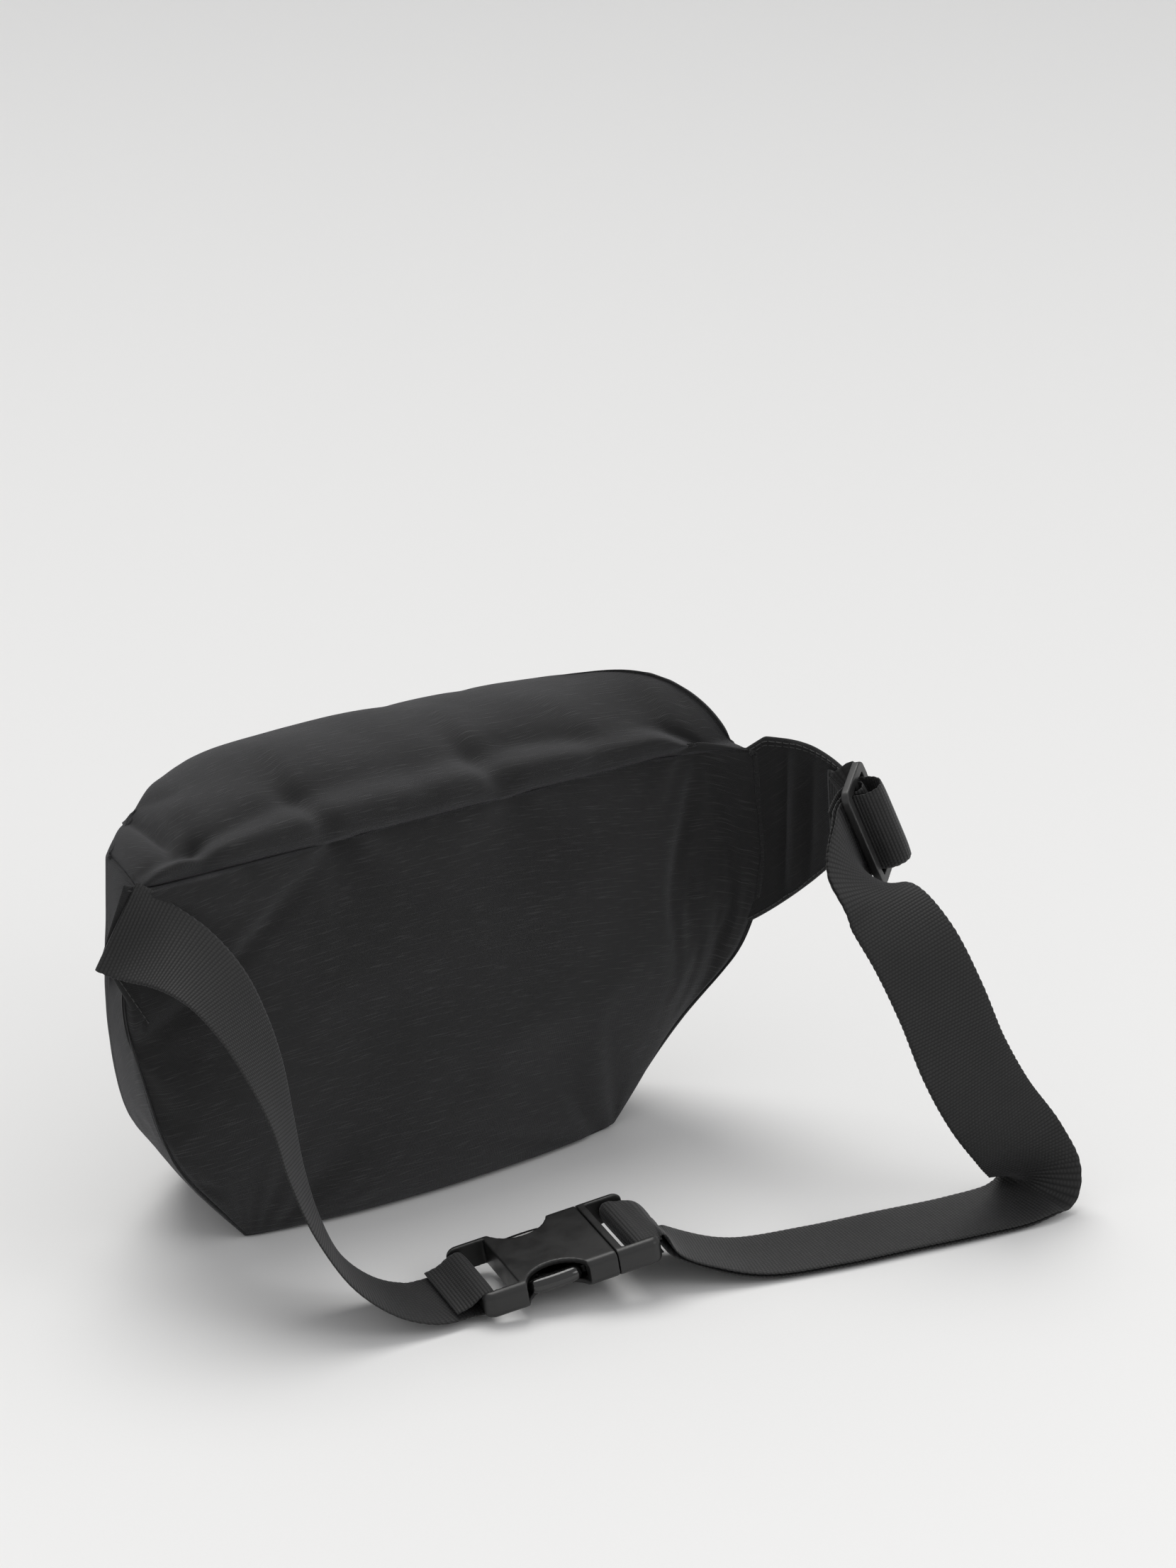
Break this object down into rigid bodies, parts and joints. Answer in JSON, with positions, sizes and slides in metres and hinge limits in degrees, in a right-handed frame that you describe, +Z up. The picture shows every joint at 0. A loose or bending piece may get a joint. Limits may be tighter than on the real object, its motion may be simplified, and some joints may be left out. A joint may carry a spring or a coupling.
{
  "type": "waist pack",
  "caption": "Soft zipped pouch with a padded back, side wings and a webbing belt that closes with a side-release buckle and adjusts at a tri-glide.",
  "frame": {"origin": "middle of the whole object's base: half way along X and Y of its box, on the surface it stands on", "axes": "+Z up; +Y towards the wearer, out of the padded back panel; +X towards the wing that carries the buckle's female half"},
  "size_m": [0.357, 0.273, 0.1883],
  "materials": {
    "back_fabric": "plain-weave polyester, black",
    "shell_fabric": "plain-weave polyester, black",
    "lining": "thin woven lining",
    "foam": "closed-cell foam",
    "zip_tape": "woven zip tape",
    "zip_coil": "nylon coil",
    "zip_metal": "black painted die-cast metal",
    "webbing": "ribbed polypropylene webbing",
    "buckle_plastic": "finely grained black acetal",
    "latch_plastic": "polished black acetal"
  },
  "bodies": {
    "bag": {"back_lining": "lining", "back_padding": "foam", "back_panel": "back_fabric", "base_panel": "shell_fabric", "buckle_female": "buckle_plastic", "front_panel": "shell_fabric", "long_webbing": "webbing", "main_zip_coil_lower": "zip_coil", "main_zip_coil_upper": "zip_coil", "main_zip_stops": "zip_metal", "main_zip_tape_lower": "zip_tape", "main_zip_tape_upper": "zip_tape", "pocket_panel": "shell_fabric", "pocket_zip_coil_lower": "zip_coil", "pocket_zip_coil_upper": "zip_coil", "pocket_zip_stops": "zip_metal", "pocket_zip_tape_lower": "zip_tape", "pocket_zip_tape_upper": "zip_tape", "short_webbing": "webbing", "side_gusset_left": "shell_fabric", "side_gusset_right": "shell_fabric", "top_panel": "shell_fabric", "wing_left": "back_fabric", "wing_right": "back_fabric"},
    "main_zip_slider": {"main_zip_slider": "zip_metal"},
    "main_zip_pull": {"main_zip_pull": "zip_metal"},
    "pocket_zip_slider": {"pocket_zip_slider": "zip_metal"},
    "pocket_zip_pull": {"pocket_zip_pull": "zip_metal"},
    "buckle_male": {"buckle_male": "buckle_plastic"},
    "latch_left": {"latch_left": "latch_plastic"},
    "latch_right": {"latch_right": "latch_plastic"},
    "tri_glide": {"tri_glide": "buckle_plastic"}
  },
  "joints": [
    {"name": "main_zip_run", "type": "hinge", "parent": "bag", "child": "main_zip_slider", "pos_m": [0.02192, 0.04633, 0.148], "axis": [0, 0, 1], "range_deg": [0, 77.93]},
    {"name": "main_zip_pull_flip", "type": "hinge", "parent": "main_zip_slider", "child": "main_zip_pull", "pos_m": [-0.08986, -0.09189, 0.148], "axis": [0, 0, -1], "range_deg": [0, 165]},
    {"name": "pocket_zip_run", "type": "hinge", "parent": "bag", "child": "pocket_zip_slider", "pos_m": [0.02192, 0.04633, 0.104], "axis": [0, 0, 1], "range_deg": [0, 43.13]},
    {"name": "pocket_zip_pull_flip", "type": "hinge", "parent": "pocket_zip_slider", "child": "pocket_zip_pull", "pos_m": [-0.04609, -0.12578, 0.104], "axis": [0, 0, -1], "range_deg": [0, 165]},
    {"name": "buckle_release", "type": "slide", "parent": "bag", "child": "buckle_male", "axis": [-0.9582, 0.2336, 0.165], "range_m": [0, 0.036], "deforming": ["long_webbing", "latch_left", "latch_right"]},
    {"name": "latch_left_press", "type": "hinge", "parent": "buckle_male", "child": "latch_left", "pos_m": [0.01451, 0.0538, 0.01699], "axis": [0.1604, -0.0391, 0.9863], "range_deg": [0, 6.5], "stiffness_Nm_per_rad": 0.2},
    {"name": "latch_right_press", "type": "hinge", "parent": "buckle_male", "child": "latch_right", "pos_m": [0.02218, 0.08528, 0.01699], "axis": [-0.1604, 0.0391, -0.9863], "range_deg": [0, 6.5], "stiffness_Nm_per_rad": 0.2},
    {"name": "strap_adjust", "type": "slide", "parent": "bag", "child": "tri_glide", "axis": [0.7463, 0.5975, -0.2933], "range_m": [0, 0.01]}
  ]
}
